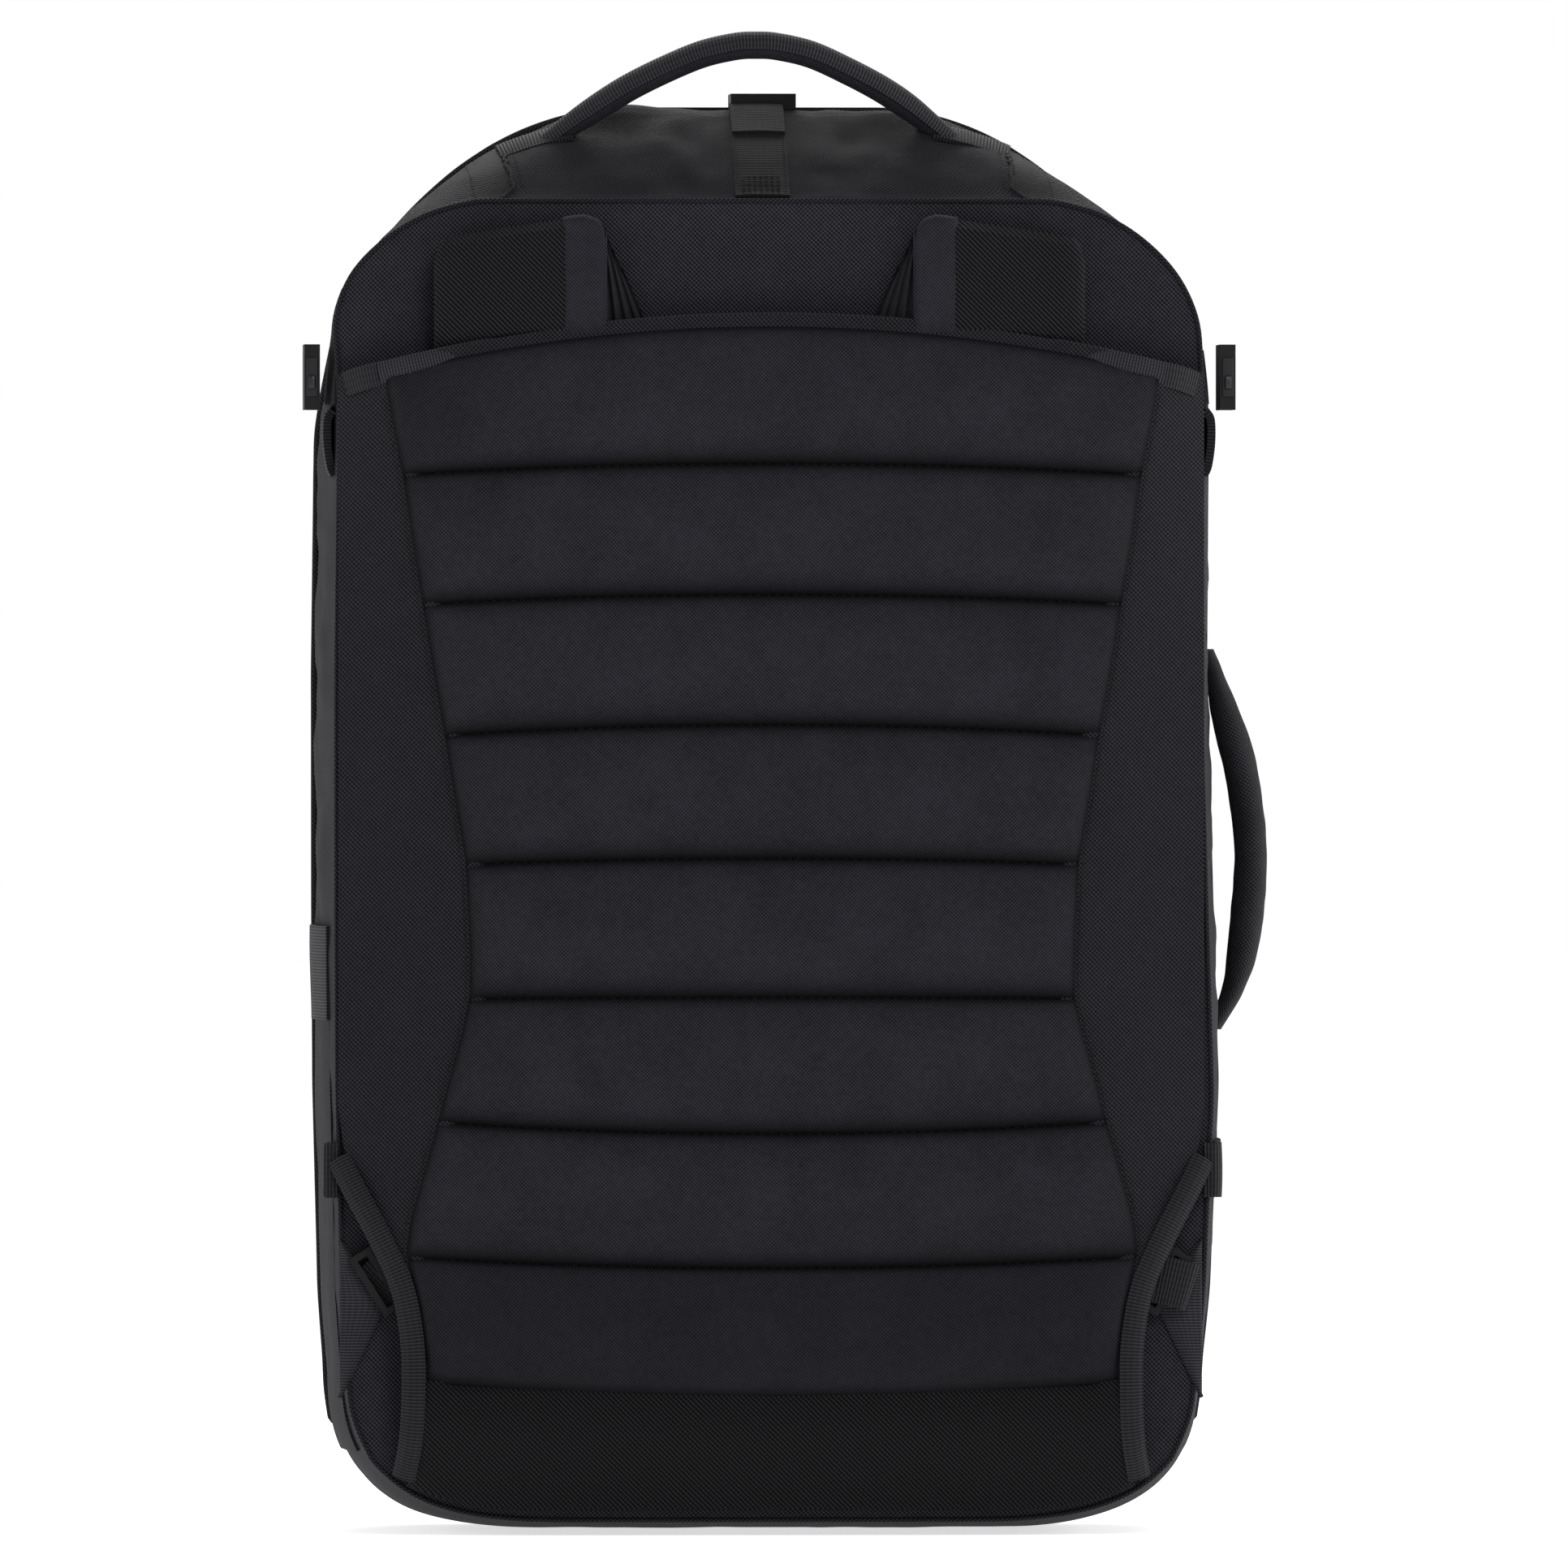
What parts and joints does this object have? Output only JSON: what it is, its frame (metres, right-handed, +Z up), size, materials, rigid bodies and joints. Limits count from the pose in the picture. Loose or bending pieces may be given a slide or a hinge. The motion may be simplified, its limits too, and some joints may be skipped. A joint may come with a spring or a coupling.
{
  "type": "travel backpack",
  "caption": "Cabin-size soft travel pack with a quilted stow panel, tucked shoulder straps, a front lid on a full zip, grab handles and compression straps.",
  "frame": {"origin": "middle of the flat bottom, which the pack stands on", "axes": "+Z up along the pack, -Y towards the wearer's back, +Y towards the lid, +X to the right as the wearer's side is seen"},
  "size_m": [0.3698, 0.2117, 0.5751],
  "materials": {
    "oxford": "matte",
    "pad_cloth": "matte",
    "ripstop": "matte",
    "webbing": "satin",
    "zip_tape": "matte",
    "foam": "matte",
    "frame_plastic": "satin",
    "buckle_plastic": "satin",
    "zip_metal": "satin",
    "cord_pull": "matte"
  },
  "bodies": {
    "pack": {"side_gusset_left": "ripstop", "side_gusset_right": "ripstop", "top_gusset": "oxford", "bottom_gusset": "ripstop", "back_wall": "oxford", "back_foam": "foam", "frame_sheet": "frame_plastic", "laptop_divider": "foam", "rear_piping": "webbing", "stow_panel": "oxford", "panel_top_binding": "webbing", "binding_tabs": "webbing", "quilted_pad": "pad_cloth", "corner_binding_left": "webbing", "corner_binding_right": "webbing", "strap_anchor_left": "oxford", "strap_anchor_right": "oxford", "strap_wing_left": "webbing", "strap_wing_right": "webbing", "lower_webbing_left": "webbing", "lower_webbing_right": "webbing", "top_handle_end_left": "webbing", "top_handle_end_right": "webbing", "side_strap_left": "webbing", "side_strap_right": "webbing", "lower_strap_left": "webbing", "lower_strap_right": "webbing", "strap_tail_left": "webbing", "strap_tail_right": "webbing", "side_handle_anchors": "webbing", "top_strap": "webbing", "top_buckle_socket": "buckle_plastic", "side_buckle_left_socket": "buckle_plastic", "side_buckle_right_socket": "buckle_plastic", "zip_tape_pack": "zip_tape", "bottle_pocket": "ripstop", "bottle_pocket_hem": "ripstop"},
    "lid": {"lid_side_left": "ripstop", "lid_side_right": "ripstop", "lid_top": "ripstop", "lid_front_panel": "ripstop", "lid_strap": "webbing", "zip_tape_lid": "zip_tape", "front_pocket": "ripstop", "pocket_zip_tape": "zip_tape"},
    "zip_slider_left": {"zip_slider_left": "zip_metal"},
    "zip_slider_right": {"zip_slider_right": "zip_metal"},
    "zip_puller_left": {"zip_puller_left": "cord_pull"},
    "zip_puller_right": {"zip_puller_right": "cord_pull"},
    "pocket_slider": {"pocket_slider": "zip_metal"},
    "pocket_puller": {"pocket_puller": "cord_pull"},
    "top_handle": {"top_handle": "webbing"},
    "side_handle": {"side_handle": "ripstop"},
    "top_buckle_tongue": {"top_buckle_tongue_half": "buckle_plastic"},
    "side_buckle_left_tongue": {"side_buckle_left_tongue_half": "buckle_plastic"},
    "side_buckle_right_tongue": {"side_buckle_right_tongue_half": "buckle_plastic"},
    "shoulder_strap_left": {"shoulder_strap_left": "oxford"},
    "shoulder_strap_right": {"shoulder_strap_right": "oxford"},
    "ladder_lock_left": {"ladder_lock_left": "buckle_plastic"},
    "ladder_lock_right": {"ladder_lock_right": "buckle_plastic"}
  },
  "joints": [
    {"name": "lid_hinge", "type": "hinge", "parent": "pack", "child": "lid", "pos_m": [0, 0.0845, 0.03], "axis": [-1, 0, 0], "range_deg": [0, 90]},
    {"name": "top_buckle_release", "type": "slide", "parent": "lid", "child": "top_buckle_tongue", "axis": [0, 1, 0], "range_m": [0, 0.018]},
    {"name": "side_buckle_left_release", "type": "slide", "parent": "pack", "child": "side_buckle_left_tongue", "axis": [0, 1, 0], "range_m": [0, 0.015]},
    {"name": "side_buckle_right_release", "type": "slide", "parent": "pack", "child": "side_buckle_right_tongue", "axis": [0, 1, 0], "range_m": [0, 0.015]},
    {"name": "zip_slide_left", "type": "slide", "parent": "lid", "child": "zip_slider_left", "axis": [-1, 0, 0], "range_m": [0, 0.03]},
    {"name": "zip_slide_right", "type": "slide", "parent": "lid", "child": "zip_slider_right", "axis": [1, 0, 0], "range_m": [0, 0.03]},
    {"name": "zip_puller_left_flip", "type": "hinge", "parent": "zip_slider_left", "child": "zip_puller_left", "pos_m": [-0.0288, 0.03, 0.5433], "axis": [0, 1, 0], "range_deg": [0, 110]},
    {"name": "zip_puller_right_flip", "type": "hinge", "parent": "zip_slider_right", "child": "zip_puller_right", "pos_m": [0.0288, 0.03, 0.5433], "axis": [0, -1, 0], "range_deg": [0, 110]},
    {"name": "pocket_slide", "type": "slide", "parent": "lid", "child": "pocket_slider", "axis": [1, 0, 0], "range_m": [0, 0.2]},
    {"name": "pocket_puller_flip", "type": "hinge", "parent": "pocket_slider", "child": "pocket_puller", "pos_m": [-0.0922, 0.101, 0.372], "axis": [0, 0, 1], "range_deg": [0, 110]},
    {"name": "top_handle_tilt", "type": "hinge", "parent": "pack", "child": "top_handle", "pos_m": [0, -0.03, 0.5374], "axis": [1, 0, 0], "range_deg": [-30, 45]},
    {"name": "side_handle_swing", "type": "hinge", "parent": "pack", "child": "side_handle", "pos_m": [0.17645, -0.01, 0.265], "axis": [0, 0, 1], "range_deg": [-15, 15]},
    {"name": "shoulder_strap_left_pull", "type": "slide", "parent": "pack", "child": "shoulder_strap_left", "axis": [0, 0, 1], "range_m": [0, 0.06]},
    {"name": "shoulder_strap_right_pull", "type": "slide", "parent": "pack", "child": "shoulder_strap_right", "axis": [0, 0, 1], "range_m": [0, 0.06]},
    {"name": "ladder_lock_left_lift", "type": "hinge", "parent": "pack", "child": "ladder_lock_left", "pos_m": [-0.1545, -0.0883, 0.094], "axis": [0.5373, 0, -0.8434], "range_deg": [0, 10]},
    {"name": "ladder_lock_right_lift", "type": "hinge", "parent": "pack", "child": "ladder_lock_right", "pos_m": [0.1545, -0.0883, 0.094], "axis": [0.5373, 0, 0.8434], "range_deg": [0, 10]}
  ]
}
